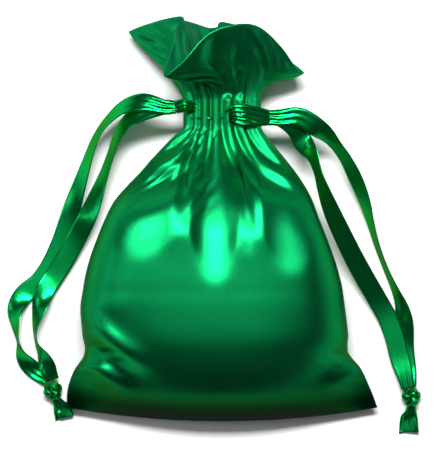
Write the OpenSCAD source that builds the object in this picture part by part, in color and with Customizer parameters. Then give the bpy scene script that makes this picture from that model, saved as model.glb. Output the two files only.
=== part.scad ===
// Satin gift sack with two ribbon drawstrings, lying on its back, neck drawn in.
// Frame: +X to the sack's right, +Y towards the mouth, +Z up from the surface it lies on.
// Millimetres. The origin is under the middle of the sack, on that surface.

/* [Sack] */
// Height of the full belly above the surface
belly_h = 34; // [28:1:40]
// Thickness of one layer of cloth
cloth_t = 0.5; // [0.4:0.1:0.6]
// Gap at which the frill turns above the casing
frill_gap = 0.4; // [0.3:0.1:0.6]
// How far the middle of the bottom seam bows out past its corners
bottom_bow = 4.5; // [0:0.5:6]
// Thickness of the two seam layers that lie between the panels
seam_t = 1; // [0.8:0.1:1.4]
// Width of the seam allowance inside the sack
seam_w = 4; // [3:0.5:5]

/* [Casing] */
// Width of the drawn neck
neck_w = 25.5; // [25:0.5:27]
// Depth of the drawn neck, front to back
neck_d = 14; // [13.5:0.5:15]
// Room for the ribbons between the panel and its facing
channel_t = 1.5; // [1.4:0.1:1.6]
// Stitches seen along one side of the neck in one row
stitch_count = 13; // [9:2:17]
// Thickness of the sewing thread
thread_d = 0.4; // [0.3:0.05:0.5]

/* [Drawstrings] */
// Width of the satin ribbon
ribbon_w = 6.4; // [6:0.2:7]
// Width of the ribbon where it is crumpled inside the casing
crumpled_w = 3; // [2.6:0.1:3]
// Thickness of the ribbon
ribbon_t = 0.3; // [0.2:0.05:0.35]

/* [Resolution] */
// Points across one panel
panel_cols = 29; // [21:2:41]
// Steps between two stations of a panel
row_steps = 2; // [1:1:2]

/* [Hidden] */

SATIN = [0.02, 0.42, 0.20];
SATIN_BACK = [0.02, 0.36, 0.17];
SATIN_INSIDE = [0.01, 0.26, 0.12];
RIBBON = [0.03, 0.55, 0.20];
THREAD = [0.02, 0.32, 0.15];

neck_z = 12;
neck_y = 30.5;
casing_h = 9;
casing_top_y = neck_y + casing_h;
seam_gap = 0.05;
casing_steps = 3;
frill_steps = 7;
stitch_inset = 0.8;
stitch_margin = 2.2;
stitch_lift = 0.06;
facing_margin = 4;

// Stations of the body from the bottom seam to the casing: [y, left x, right x, seam z,
// front rise, back drop, belly exponent, edge exponent]. Rises are shares of belly_h.
body_rows = [
    [-61.5, -51.2, 51.5, 5.0, 0.00, 0.00, 2.0, 1.3],
    [-60.4, -51.4, 51.2, 5.0, 0.17, 0.11, 2.0, 1.3],
    [-58.0, -51.5, 50.4, 5.2, 0.34, 0.145, 2.0, 1.2],
    [-54.0, -51.0, 48.6, 6.0, 0.49, 0.17, 2.0, 1.0],
    [-48.0, -48.4, 45.8, 7.5, 0.58, 0.215, 2.2, 0.75],
    [-43.0, -45.0, 41.2, 9.0, 0.62, 0.26, 2.5, 0.55],
    [-37.0, -45.6, 41.2, 10.5, 0.63, 0.305, 2.5, 0.45],
    [-28.0, -46.2, 40.0, 12.0, 0.64, 0.35, 2.5, 0.42],
    [-18.0, -44.8, 38.9, 12.7, 0.625, 0.37, 2.5, 0.42],
    [-9.0, -41.7, 35.6, 13.0, 0.60, 0.38, 2.5, 0.42],
    [0.0, -38.5, 32.0, 13.0, 0.56, 0.38, 2.5, 0.42],
    [8.0, -34.4, 29.4, 13.0, 0.51, 0.375, 2.5, 0.42],
    [15.0, -27.6, 25.0, 12.8, 0.45, 0.35, 2.5, 0.42],
    [21.5, -22.0, 19.8, 12.4, 0.36, 0.30, 2.5, 0.42],
    [27.0, -16.6, 15.2, 12.1, 0.27, 0.24, 2.5, 0.41],
];

// The mouth's hem, left corner to right corner, over the front and under the back.
front_hem = [[-32, 61.5, 6.0], [-20.5, 48, 27], [-7, 57.5, 27], [0, 62, 24],
             [9, 63.5, 20], [17, 57.5, 18], [23, 52, 16], [26.5, 48.5, 10.5]];
back_hem = [[-32, 61.5, 5.4], [-21, 65, 2.4], [-10.5, 66, 2.0], [-3, 63.6, 2.6],
            [0, 65.6, 1.6], [9, 64, 1.6], [18, 58.5, 3.4], [26.5, 48.5, 9.9]];

// Routes of the free strands: [x, y, z, roll], where roll 0 lies flat and 90 stands on edge.
left_outer_route = [
    [-15, 36.7, 17.7, 0], [-19, 36.7, 17.7, 0], [-25.5, 38.4, 16.8, 16], [-32, 37, 14, 45],
    [-37.6, 32.4, 11, 62], [-41.4, 26.8, 8.8, 64], [-44.4, 19, 6.6, 56], [-47.6, 9.6, 4.4, 36],
    [-50.3, 1.4, 2.2, 10], [-53, -6.6, 1.2, 2], [-56.2, -13.8, 0.9, 0], [-60.2, -19.8, 1.0, 0],
    [-65.4, -24.2, 1.2, 2], [-68.2, -29.2, 2.6, 34], [-68, -34.8, 3.4, 62], [-67, -40.2, 3.6, 76],
    [-65.4, -45.2, 2.6, 40], [-61.8, -49.6, 0.9, 2], [-57.6, -52.4, 1.8, 0]];
left_inner_route = [
    [-15, 36.7, 17.27, 0], [-19, 36.7, 17.2, 0], [-25.4, 35.4, 15.6, 16], [-30.6, 32.6, 13, 42],
    [-34.2, 27.4, 10.6, 60], [-36.4, 21.6, 8.6, 64], [-38.8, 15, 6.8, 58], [-41.4, 8, 6.2, 38],
    [-44.2, 1.2, 6, 16], [-47.8, -5.6, 3.8, 8], [-51.6, -12.4, 2.8, 0], [-55.4, -18.4, 2.4, 0],
    [-58.4, -23.2, 3.2, 0], [-60.2, -28.8, 4.0, 40], [-61.5, -34.8, 3.8, 70], [-61, -40.4, 3.8, 76],
    [-58.4, -45.4, 4.8, 40], [-57, -49.4, 4.4, 4], [-55.9, -52.4, 3.2, 0]];
right_outer_route = [
    [15, 33.3, 17.7, 0], [19, 33.3, 18.2, 0], [25, 33.4, 18.2, 10], [30.8, 30, 17, 18],
    [35.8, 25.8, 12.8, 56], [40, 20.6, 10.6, 58], [43.4, 14.2, 8.8, 50], [46.4, 7, 7.2, 58],
    [48.6, -0.4, 5.8, 72], [51, -8.4, 4.8, 78], [54.2, -16.6, 4.2, 78], [57.2, -23.2, 3.9, 70],
    [59.3, -28.6, 3.4, 50], [60, -34.2, 2.2, 18], [60.2, -41.4, 1.0, 0], [60.8, -47.6, 1.0, 0],
    [61.4, -52.6, 2.0, 0], [61.8, -55, 2.4, 0]];
right_inner_route = [
    [15, 33.3, 17.27, 0], [19, 33, 17.1, 0], [23.6, 30, 15.8, 0], [26, 26, 14.2, 6],
    [29.2, 21.2, 15.2, 54], [31, 15.6, 15.8, 68], [33, 9.6, 15.2, 54], [35.6, 3, 14.2, 36],
    [38.8, -3.8, 12.4, 24], [42.6, -11.2, 9.4, 14], [46.8, -18.6, 6.2, 6], [51, -25.6, 3.6, 2],
    [54.4, -31.6, 2.4, 0], [56.8, -38, 2.2, 0], [58.4, -44.4, 2.2, 0], [60.2, -50.6, 3.0, 0],
    [61.2, -55, 3.4, 0]];

left_knot_at = [-55.6, -56, 3.2];
right_knot_at = [62.3, -58, 3.2];
knot_r = 3;
layer_gap = 0.5;
left_ends_route = [[-54.8, -58.9, 2.8, 0], [-53.6, -60.6, 2.2, 0],
                   [-52.6, -62.6, 1.6, 0], [-52.2, -64.8, 1.0, 0]];
right_ends_route = [[62.6, -61.1, 2.6, 0], [62.2, -63.4, 1.8, 0],
                    [61.6, -66, 1.2, 0], [61.4, -69.6, 0.8, 0]];

// Where the straight hidden root of a drawstring ends inside the casing, and its two levels.
root_inner_x = 5;
root_outer_x = 15;
outer_level = 5.7;
inner_level = 5.27;
slot_from_x = 6;
slot_to_x = 11.2;
slot_room = 0.3;
left_level_y = 36.7;
right_level_y = 33.3;

function lerp(a, b, t) = a + (b - a) * t;
function unit(v) = v / norm(v);
function curve4(a, b, c, d, t) =
    0.5 * (2 * b + (c - a) * t + (2 * a - 5 * b + 4 * c - d) * t * t
           + (3 * b - a - 3 * c + d) * t * t * t);

// A smooth list through points, with steps pieces between each two.
function smoothed(points, steps) = [
    for (i = [0 : len(points) - 2], k = [0 : steps - 1])
        curve4(points[max(i - 1, 0)], points[i], points[i + 1],
               points[min(i + 2, len(points) - 1)], k / steps),
    points[len(points) - 1]];

// The point a share t of the way along a smooth list.
function along(points, t) =
    let (n = len(points) - 1, i = min(floor(t * n), n - 1))
    curve4(points[max(i - 1, 0)], points[i], points[i + 1], points[min(i + 2, n)], t * n - i);

// Share of the full rise at s, from -1 at the left seam to 1 at the right seam.
function swell(s, belly, edge) = pow(max(1 - pow(abs(s), belly), 0), edge);

function edge_gap(y) = y < neck_y ? seam_t / 2 + seam_gap + cloth_t : 0.1;

// A point of the body at station r: side 1 is the front, -1 the back, which lies flat at 0.
function body_point(r, s, side) =
    let (rise = (side > 0 ? r[4] : r[5]) * belly_h * swell(s, side > 0 ? r[6] : r[6] + 1.5, r[7]),
         mid = (r[1] + r[2]) / 2,
         bow = bottom_bow * pow(max(0, min(1, (-30 - r[0]) / 31.5)), 2))
    [mid + (r[2] - r[1]) / 2 * s, r[0] - bow * (1 - s * s),
     max(0, r[3] + side * (edge_gap(r[0]) + rise))];

function neck_point(y, s, side) =
    [neck_w / 2 * s, y, neck_z + side * (edge_gap(y) + (neck_d / 2 - edge_gap(y)) * swell(s, 2.5, 0.4))];

// A point of the frill, a share t of the way from the casing to the hem.
function frill_point(s, t, side) =
    let (base = neck_point(casing_top_y, s, side), hem = along(side > 0 ? front_hem : back_hem, (s + 1) / 2),
         flare = t * t * (3 - 2 * t))
    [lerp(base[0], hem[0], t), lerp(base[1], hem[1], t), lerp(base[2], hem[2], lerp(t, flare, 0.5))];

function s_at(i) = sin(lerp(-90, 90, i / (panel_cols - 1)));

stations = smoothed(body_rows, row_steps);

// Rows of points over one side of the casing, of the whole sack below it, and of the frill.
function casing_grid(side) = [for (k = [0 : casing_steps]) [for (i = [0 : panel_cols - 1])
    neck_point(neck_y + casing_h * k / casing_steps, s_at(i), side)]];

function panel_grid(side) = concat(
    [for (r = stations) [for (i = [0 : panel_cols - 1]) body_point(r, s_at(i), side)]],
    casing_grid(side));

function frill_grid(side) = [for (k = [0 : frill_steps]) [for (i = [0 : panel_cols - 1])
    frill_point(s_at(i), k / frill_steps, side) + [0, k == 0 ? frill_gap : 0, 0]]];

// The unit normal that points out of the sack at a grid point.
function normal_at(grid, j, i, side) =
    let (rows = len(grid) - 1, cols = len(grid[0]) - 1)
    side * unit(cross(grid[j][min(i + 1, cols)] - grid[j][max(i - 1, 0)],
                      grid[min(j + 1, rows)][i] - grid[max(j - 1, 0)][i]));

function inset(grid, depth, side) = [for (j = [0 : len(grid) - 1])
    [for (i = [0 : len(grid[0]) - 1]) grid[j][i] - depth * normal_at(grid, j, i, side)]];

// The closed skin between two grids of points.
module skin(outer, inner, side) {
    rows = len(outer);
    cols = len(outer[0]);
    count = rows * cols;
    points = concat([for (row = outer, p = row) p], [for (row = inner, p = row) p]);
    sheet = [for (j = [0 : rows - 2], i = [0 : cols - 2])
        let (a = j * cols + i, b = a + 1, c = a + cols, d = c + 1) each [[a, c, b], [b, c, d]]];
    under = [for (f = sheet) [f[2] + count, f[1] + count, f[0] + count]];
    ring = concat([for (i = [0 : cols - 2]) i], [for (j = [0 : rows - 2]) j * cols + cols - 1],
                  [for (i = [cols - 1 : -1 : 1]) (rows - 1) * cols + i],
                  [for (j = [rows - 1 : -1 : 1]) j * cols]);
    n = len(ring);
    rim = [for (k = [0 : n - 1]) let (a = ring[k], b = ring[(k + 1) % n])
        each [[a, b, a + count], [b, b + count, a + count]]];
    faces = concat(sheet, under, rim);
    polyhedron(points, side > 0 ? faces : [for (f = faces) [f[2], f[1], f[0]]]);
}

// Columns of a grid that lie between two shares of its width.
function middle_columns(grid, from, to) = [for (row = grid) [for (i = [from : to]) row[i]]];

module panel(side) {
    grid = panel_grid(side);
    skin(grid, inset(grid, cloth_t, side), side);
}

// The frill is the panel's own cloth, turned in at the mouth, so it is two layers thick.
module frill(side) {
    grid = frill_grid(side);
    skin(grid, inset(grid, 2 * cloth_t, side), side);
}

// The turned-in layer behind the casing, with the ribbons' channel in front of it.
module facing(side) {
    grid = casing_grid(side);
    last = panel_cols - 1 - facing_margin;
    skin(middle_columns(inset(grid, cloth_t + channel_t, side), facing_margin, last),
         middle_columns(inset(grid, 2 * cloth_t + channel_t, side), facing_margin, last), side);
}

// A slot through the front panel for a drawstring to leave its casing.
module slot(direction, y) {
    x = direction > 0 ? slot_from_x : -slot_to_x;
    translate([x, y - crumpled_w / 2 - slot_room, neck_z + 1])
        cube([slot_to_x - slot_from_x, crumpled_w + 2 * slot_room, 10]);
}

module front_panel() {
    color(SATIN) difference() {
        panel(1);
        slot(-1, left_level_y);
        slot(1, right_level_y);
    }
}

module back_panel() {
    color(SATIN_BACK) panel(-1);
}

module front_facing() {
    color(SATIN_INSIDE) difference() {
        facing(1);
        slot(-1, left_level_y);
        slot(1, right_level_y);
    }
}

module back_facing() {
    color(SATIN_INSIDE) facing(-1);
}

module front_frill() {
    color(SATIN) frill(1);
}

module back_frill() {
    color(SATIN_BACK) frill(-1);
}

// A flat strip between two lists of points, seam_t thick and level with the seam.
module strip(outer, inner) {
    n = len(outer);
    up = [0, 0, seam_t / 2];
    points = concat([for (p = outer) p + up], [for (p = inner) p + up],
                    [for (p = outer) p - up], [for (p = inner) p - up]);
    top = [for (i = [0 : n - 2]) each [[i, i + 1, i + n], [i + 1, i + 1 + n, i + n]]];
    bottom = [for (f = top) [f[2] + 2 * n, f[1] + 2 * n, f[0] + 2 * n]];
    outside = [for (i = [0 : n - 2]) each [[i + 1, i, i + 2 * n], [i + 1, i + 2 * n, i + 1 + 2 * n]]];
    inside = [for (f = outside) [f[2] + n, f[1] + n, f[0] + n]];
    ends = [[0, n, 3 * n], [0, 3 * n, 2 * n],
            [2 * n - 1, n - 1, 3 * n - 1], [2 * n - 1, 3 * n - 1, 4 * n - 1]];
    polyhedron(points, concat(top, bottom, outside, inside, ends));
}

// The seam allowance along one side: direction -1 is the left, 1 the right.
module side_seam(direction) {
    used = [for (r = stations) if (r[0] > -55.5 && r[0] < 28) r];
    outer = [for (r = used) [direction < 0 ? r[1] : r[2], r[0], r[3]]];
    inner = [for (p = outer) p - [direction * seam_w, 0, 0]];
    color(THREAD)
        if (direction > 0) strip(outer, inner);
        else strip(inner, outer);
}

module left_side_seam() {
    side_seam(-1);
}

module right_side_seam() {
    side_seam(1);
}

module bottom_seam() {
    r = stations[0];
    edge = [for (i = [0 : panel_cols - 1]) let (p = body_point(r, s_at(i), 1)) [p[0], p[1], r[3]]];
    color(THREAD) strip(edge, [for (p = edge) p + [0, seam_w, 0]]);
}

// One row of stitches on the outside of the casing.
module stitches(y, side) {
    reach = neck_w / 2 - stitch_margin;
    pitch = 2 * reach / (stitch_count - 1);
    color(THREAD) for (k = [0 : stitch_count - 1]) {
        x = -reach + pitch * k;
        a = neck_point(y, (x - 0.3 * pitch) / (neck_w / 2), side);
        b = neck_point(y, (x + 0.3 * pitch) / (neck_w / 2), side);
        lift = [0, 0, side * (thread_d / 2 + stitch_lift)];
        slope = atan2(b[2] - a[2], b[0] - a[0]);
        translate(a + lift) rotate([0, -slope, 0]) rotate([0, 90, 0])
            cylinder(h = norm(b - a), d = thread_d, $fn = 16);
    }
}

module front_upper_stitches() {
    stitches(casing_top_y - stitch_inset, 1);
}

module front_lower_stitches() {
    stitches(neck_y + stitch_inset, 1);
}

module back_upper_stitches() {
    stitches(casing_top_y - stitch_inset, -1);
}

module back_lower_stitches() {
    stitches(neck_y + stitch_inset, -1);
}

// A ribbon swept along rows of [x, y, z, roll], with widths given row by row.
module ribbon(rows, widths) {
    n = len(rows);
    place = [for (r = rows) [r[0], r[1], r[2]]];
    rings = [for (i = [0 : n - 1])
        let (t = unit(place[min(i + 1, n - 1)] - place[max(i - 1, 0)]), level = unit(cross([0, 0, 1], t)),
             up = cross(t, level), across = level * cos(rows[i][3]) + up * sin(rows[i][3]),
             out = cross(t, across), w = widths[i] / 2, h = ribbon_t / 2)
        [for (c = [[w, 0], [0.6 * w, 0.7 * h], [0, h], [-0.6 * w, 0.7 * h],
                   [-w, 0], [-0.6 * w, -0.7 * h], [0, -h], [0.6 * w, -0.7 * h]])
            place[i] + c[0] * across + c[1] * out]];
    sides = 8;
    // Both faces are split along the same diagonals, so that a thin ribbon can twist.
    walls = [for (i = [0 : n - 2], k = [0 : sides - 1])
        let (a = i * sides + k, b = i * sides + (k + 1) % sides, c = a + sides, d = b + sides)
        each (k < sides / 2 ? [[a, b, c], [b, d, c]] : [[a, b, d], [a, d, c]])];
    polyhedron([for (ring = rings, p = ring) p],
               concat(walls, [[for (k = [sides - 1 : -1 : 0]) k],
                              [for (k = [0 : sides - 1]) (n - 1) * sides + k]]));
}

// A free strand widens from the crumpled width as it leaves the casing, and narrows to its knot.
module strand(route) {
    last = len(route) - 1;
    color(RIBBON) ribbon(route, [for (i = [0 : last])
        lerp(crumpled_w, ribbon_w, min(1, i / 2)) * lerp(0.72, 1, min(1, (last - i) / 2))]);
}

// The straight hidden end of a drawstring inside the casing: direction -1 leaves to the left.
module root(direction, y, level) {
    length = root_inner_x + root_outer_x;
    color(RIBBON) translate([direction * (root_outer_x - length / 2), y, neck_z + level])
        cube([length, crumpled_w, ribbon_t], center = true);
}

// The rest of a drawstring's loop, round the neck between the panels and their facings.
module loop(direction, y) {
    depth = cloth_t + channel_t / 2;
    angles = [for (a = [66 : -6 : -222]) a];
    rx = neck_w / 2 - depth;
    rz = neck_d / 2 - depth;
    power = 0.8;
    ring = [for (a = angles) [direction * -1 * sign(cos(a)) * pow(abs(cos(a)), power) * rx,
                              neck_z + sign(sin(a)) * pow(abs(sin(a)), power) * rz]];
    h = ribbon_t / 2;
    outline = concat([for (p = ring) p + h * unit(p - [0, neck_z])],
                     [for (i = [len(ring) - 1 : -1 : 0]) ring[i] - h * unit(ring[i] - [0, neck_z])]);
    color(RIBBON) translate([0, y + crumpled_w / 2, 0]) rotate([90, 0, 0])
        linear_extrude(crumpled_w) polygon(outline);
}

module left_ribbon_loop() {
    loop(-1, left_level_y);
}

module right_ribbon_loop() {
    loop(1, right_level_y);
}

module left_outer_root() {
    root(-1, left_level_y, outer_level);
}

module left_inner_root() {
    root(-1, left_level_y, inner_level);
}

module right_outer_root() {
    root(1, right_level_y, outer_level);
}

module right_inner_root() {
    root(1, right_level_y, inner_level);
}

module left_outer_strand() {
    strand(left_outer_route);
}

module left_inner_strand() {
    strand(left_inner_route);
}

module right_outer_strand() {
    strand(right_outer_route);
}

module right_inner_strand() {
    strand(right_inner_route);
}

// An overhand knot: a tight ball of ribbon with one turn round its waist.
module knot(at, heading) {
    color(RIBBON) translate(at) rotate([0, 0, heading]) {
        sphere(r = knot_r - 0.4, $fn = 32);
        rotate([90, 0, 0]) rotate_extrude($fn = 48)
            translate([knot_r - 1.1, 0]) circle(r = 1, $fn = 20);
    }
}

module left_knot() {
    knot(left_knot_at, 20);
}

module right_knot() {
    knot(right_knot_at, 4);
}

// The two cut ends past the knot, one on the other.
module ribbon_ends(route) {
    rows = smoothed(route, 2);
    n = len(rows);
    widths = [for (i = [0 : n - 1]) lerp(0.45, 0.9, min(1, i / 3)) * ribbon_w];
    color(RIBBON) {
        ribbon(rows, widths);
        ribbon([for (r = rows) [r[0], r[1], r[2] + layer_gap, r[3]]], [for (w = widths) 0.85 * w]);
    }
}

module left_ribbon_ends() {
    ribbon_ends(left_ends_route);
}

module right_ribbon_ends() {
    ribbon_ends(right_ends_route);
}

front_panel();
back_panel();
front_facing();
back_facing();
front_frill();
back_frill();
left_side_seam();
right_side_seam();
bottom_seam();
front_upper_stitches();
front_lower_stitches();
back_upper_stitches();
back_lower_stitches();
left_ribbon_loop();
right_ribbon_loop();
left_outer_root();
left_inner_root();
right_outer_root();
right_inner_root();
left_outer_strand();
left_inner_strand();
left_knot();
left_ribbon_ends();
right_outer_strand();
right_inner_strand();
right_knot();
right_ribbon_ends();
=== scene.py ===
import math

import bpy
import numpy as np
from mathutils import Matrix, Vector


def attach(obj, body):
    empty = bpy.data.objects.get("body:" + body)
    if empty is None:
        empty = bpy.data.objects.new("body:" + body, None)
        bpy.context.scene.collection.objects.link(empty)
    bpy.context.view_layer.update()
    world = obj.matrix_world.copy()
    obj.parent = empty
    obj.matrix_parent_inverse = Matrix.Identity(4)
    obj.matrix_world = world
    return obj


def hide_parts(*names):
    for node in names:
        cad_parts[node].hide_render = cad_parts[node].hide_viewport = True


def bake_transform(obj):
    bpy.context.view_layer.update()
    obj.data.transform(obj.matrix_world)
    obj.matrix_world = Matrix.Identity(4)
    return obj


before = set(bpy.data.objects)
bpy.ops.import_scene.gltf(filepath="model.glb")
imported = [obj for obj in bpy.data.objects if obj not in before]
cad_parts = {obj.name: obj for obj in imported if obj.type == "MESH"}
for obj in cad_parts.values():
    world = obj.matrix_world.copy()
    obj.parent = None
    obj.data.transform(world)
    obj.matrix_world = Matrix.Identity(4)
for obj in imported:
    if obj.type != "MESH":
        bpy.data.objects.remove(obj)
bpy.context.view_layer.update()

mm = 0.001


def say(stage):
    print("sack:", stage)


# camera, floor and light
studio = {
    "cameraHeight": 0.7,          # metres above the table
    "viewCentre": (-1.5, -1.3),   # mm, the point that the camera looks straight down on
    "viewTall": 146.3,            # mm seen from top to bottom of the frame
    "viewLevel": 12,              # mm above the table where that height is seen
    "floorColour": (0.93, 0.93, 0.93, 1),
    "world": 0.03,
    "keyPower": 6.7,              # the window beyond the mouth of the sack
    "keyPlace": (-0.015, 0.27, 0.60),
    "keySize": (0.34, 0.12),
    "fillPower": 0.5,             # a weaker one on the left
    "fillPlace": (-0.62, 0.05, 0.42),
    "fillSize": (0.1, 0.3),
    "topPower": 0.9,              # the broad lamp over the table
    "topPlace": (0, 0.02, 0.80),
    "topSize": (0.75, 0.62),
}


def link(obj):
    bpy.context.scene.collection.objects.link(obj)
    return obj


def aim(obj, target=(0, 0, 0.01)):
    direction = Vector(target) - obj.location
    obj.rotation_euler = direction.to_track_quat("-Z", "Y").to_euler()


def makeCamera(s):
    data = bpy.data.cameras.new("camera")
    camera = link(bpy.data.objects.new("camera", data))
    x, y = s["viewCentre"]
    camera.location = (x * mm, y * mm, s["cameraHeight"])
    data.sensor_width = 36
    data.lens = 36 * (s["cameraHeight"] - s["viewLevel"] * mm) / (s["viewTall"] * mm)
    data.clip_start, data.clip_end = 0.01, 20
    bpy.context.scene.camera = camera


def areaLight(name, s):
    data = bpy.data.lights.new(name, "AREA")
    data.shape = "RECTANGLE"
    data.size, data.size_y = s[name + "Size"]
    data.energy = s[name + "Power"]
    lamp = link(bpy.data.objects.new(name + "Light", data))
    lamp.location = s[name + "Place"]
    aim(lamp)


def makeWorld(s):
    world = bpy.data.worlds.new("studio")
    bpy.context.scene.world = world
    world.use_nodes = True
    sky = world.node_tree.nodes["Background"]
    sky.inputs[0].default_value = (1, 1, 1, 1)
    sky.inputs[1].default_value = s["world"]


makeCamera(studio)
makeWorld(studio)
for lamp in ("key", "fill", "top"):
    areaLight(lamp, studio)
bpy.context.scene.view_settings.view_transform = "Standard"
say("camera and light")


# shader maths
class Value:
    # one output socket of a material's tree, with the operators that the materials use
    def __init__(self, look, socket):
        self.look = look
        self.socket = socket

    def maths(self, kind, *others):
        return self.look.node("ShaderNodeMath", {"operation": kind}, self, *others)

    def __add__(self, other):
        return self.maths("ADD", other)

    def __mul__(self, other):
        return self.maths("MULTIPLY", other)

    def __sub__(self, other):
        return self.maths("SUBTRACT", other)

    def __rsub__(self, other):
        return self.look.node("ShaderNodeMath", {"operation": "SUBTRACT"}, other, self)

    def __truediv__(self, other):
        return self.maths("DIVIDE", other)

    __radd__ = __add__
    __rmul__ = __mul__

    def sine(self):
        return self.maths("SINE")

    def clamped(self):
        return self.maths("MINIMUM", 1).maths("MAXIMUM", 0)


class Look:
    # a material whose nodes come from plain calls
    def __init__(self, name):
        self.material = bpy.data.materials.new(name)
        self.material.use_nodes = True
        self.tree = self.material.node_tree
        self.shader = self.tree.nodes["Principled BSDF"]

    def put(self, socket, value):
        if isinstance(value, Value):
            self.tree.links.new(value.socket, socket)
        else:
            socket.default_value = value

    def node(self, kind, settings=None, *values, out=0, ports=None, **named):
        # values go to the first sockets in turn, ports to sockets by number, the rest to sockets by name
        made = self.tree.nodes.new(kind)
        for key, value in (settings or {}).items():
            setattr(made, key, value)
        for socket, value in zip(made.inputs, values):
            self.put(socket, value)
        for number, value in (ports or {}).items():
            self.put(made.inputs[number], value)
        for key, value in named.items():
            self.put(made.inputs[key.replace("_", " ")], value)
        return Value(self, made.outputs[out])

    def noise(self, place, scale, detail=2.0):
        return self.node("ShaderNodeTexNoise", None, Vector=place, Scale=scale, Detail=detail)

    def stretched(self, place, across, along):
        return self.node("ShaderNodeVectorMath", {"operation": "MULTIPLY"}, place, (across, along, 1))

    def mixed(self, factor, first, second):
        return self.node("ShaderNodeMix", {"data_type": "RGBA"}, factor, out=2, ports={6: first, 7: second})

    def bumped(self, height, distance, strength=1.0):
        return self.node("ShaderNodeBump", None, Strength=strength, Distance=distance, Height=height)

    def finish(self, links, fixed):
        for key, value in {**links, **fixed}.items():
            self.put(self.shader.inputs[key], value)
        return self.material


# fabrics and thread
satinLook = {
    "deep": (0.002, 0.235, 0.068, 1),    # the warp where it lies dark
    "bright": (0.005, 0.300, 0.092, 1),
    "metallic": 0.93,
    "roughness": 0.33,
    "warpThreads": 5600,                 # per metre
    "weftThreads": 3900,
    "weaveDepth": 0.000012,
    "edge": (0.01, 0.22, 0.07, 1),       # what grazing light is tinted with
    "shade": 0.0,                        # how much painted shade darkens the cloth near the bottom seam, where it turns under
    "shadeFrom": 0.020,                  # metres of cloth up from the seam
    "shadeTo": 0.005,
    # near-black colour of the painted shade by the bottom seam
    "under": (0.0005, 0.004, 0.004, 1),
}


def wovenSatin(name, s, dull=0.0):
    look = Look(name)
    place = look.node("ShaderNodeAttribute", {"attribute_name": "weave"}, out=1)
    across, along = (look.node("ShaderNodeSeparateXYZ", None, place, out=k) for k in (0, 1))
    warp = (across * (s["warpThreads"] * 2 * math.pi)).sine()
    weft = (along * (s["weftThreads"] * 2 * math.pi)).sine()
    slub = look.noise(look.stretched(place, 1400, 260), 1.0, 3.0)
    cloud = look.noise(place, 38, 2.0)
    height = warp * 0.5 + weft * 0.18 + slub * 0.08
    tone = (slub * 0.6 + cloud * 0.7 - 0.15).clamped()
    colour = look.mixed(tone, s["deep"], s["bright"])
    # Painted shade: the cloth is mixed towards a near-black colour over the lowest 20 mm above the bottom
    # seam, standing in for the dark band where the sack turns under
    if s["shade"]:
        low = ((s["shadeFrom"] - along) / (s["shadeFrom"] - s["shadeTo"])).clamped()
        colour = look.mixed(low * s["shade"], colour, s["under"])
    return look.finish({
        "Base Color": colour,
        "Roughness": cloud * 0.10 + slub * 0.03 + (s["roughness"] - 0.08 + dull),
        "Normal": look.bumped(height, s["weaveDepth"]),
    }, {
        "Metallic": s["metallic"] * (1 - dull),
        "Specular Tint": s["edge"],
        "Sheen Weight": dull * 0.3,
        "Sheen Roughness": 0.4,
        "Sheen Tint": (0.05, 0.6, 0.25, 1),
    })


# Wrong side of the satin: duller, and darker in colour partly as painted shade, since it also covers the
# turned-in facing inside the mouth
wrongSideShadeLook = dict(satinLook, deep=(0.001, 0.09, 0.03, 1), bright=(0.002, 0.13, 0.045, 1), metallic=0.5)
ribbonLook = dict(satinLook, deep=(0.001, 0.27, 0.055, 1), bright=(0.004, 0.36, 0.085, 1),
                  roughness=0.25, warpThreads=3000, weftThreads=2400)
seamLook = dict(satinLook, deep=(0.002, 0.11, 0.04, 1), bright=(0.004, 0.16, 0.06, 1), metallic=0.2)
threadLook = dict(satinLook, deep=(0.002, 0.16, 0.05, 1), bright=(0.004, 0.24, 0.08, 1),
                  metallic=0.2, roughness=0.45, warpThreads=500, weftThreads=3500)

finishes = {
    # the outer satin carries the painted shade by the bottom seam
    "satin": wovenSatin("glossy_satin", dict(satinLook, shade=0.85)),
    "satin_lining": wovenSatin("wrong_side_with_painted_shade", wrongSideShadeLook, dull=0.25),
    "ribbon": wovenSatin("satin_ribbon", ribbonLook),
    "seam": wovenSatin("raw_seam", seamLook, dull=0.3),
    "thread": wovenSatin("sewing_thread", threadLook),
}


def makeFloor(s):
    look = Look("pale_table")
    place = look.node("ShaderNodeTexCoord", None, out=3)
    grain = look.noise(place, 30, 3.0)
    look.finish({"Roughness": grain * 0.1 + 0.75}, {"Base Color": s["floorColour"]})
    mesh = bpy.data.meshes.new("table")
    half = 2.5
    corners = [(-half, -half, 0), (half, -half, 0), (half, half, 0), (-half, half, 0)]
    mesh.from_pydata(corners, [], [(0, 1, 2, 3)])
    mesh.materials.append(look.material)
    link(bpy.data.objects.new("table", mesh))


makeFloor(studio)
say("materials")


# ribbons, knots and cut ends
ribbonSize = {
    "width": 6.4,        # mm
    "crumpled": 3.0,     # mm wide inside the casing
    "thick": 0.26,
    "steps": 6,          # rings between two points of a route
    "columns": 13,
}

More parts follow.
